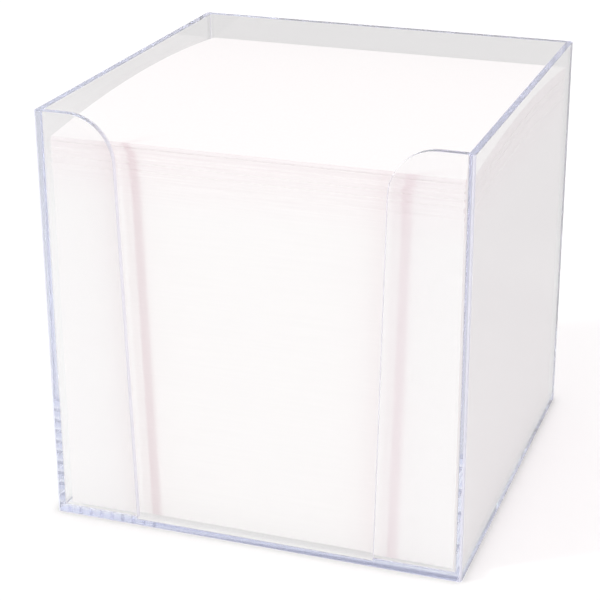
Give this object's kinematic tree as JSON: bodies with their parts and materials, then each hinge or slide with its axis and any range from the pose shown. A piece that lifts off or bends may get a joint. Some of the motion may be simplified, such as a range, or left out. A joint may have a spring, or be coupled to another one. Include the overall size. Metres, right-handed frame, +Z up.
{
  "type": "note box",
  "caption": "Clear moulded square desk box with a wide front slot between rounded lips, filled with a block of loose white note sheets.",
  "frame": {"origin": "centre of the box's footprint, on the face it stands on", "axes": "+Z up; +X to the right along the front; the slotted front faces -Y"},
  "size_m": [0.095, 0.095, 0.095],
  "materials": {
    "clear_polystyrene": "clear, polished",
    "note_paper": "uncoated, matt"
  },
  "bodies": {
    "root": {"clear_box": "clear_polystyrene", "note_stack": "note_paper"}
  },
  "joints": []
}
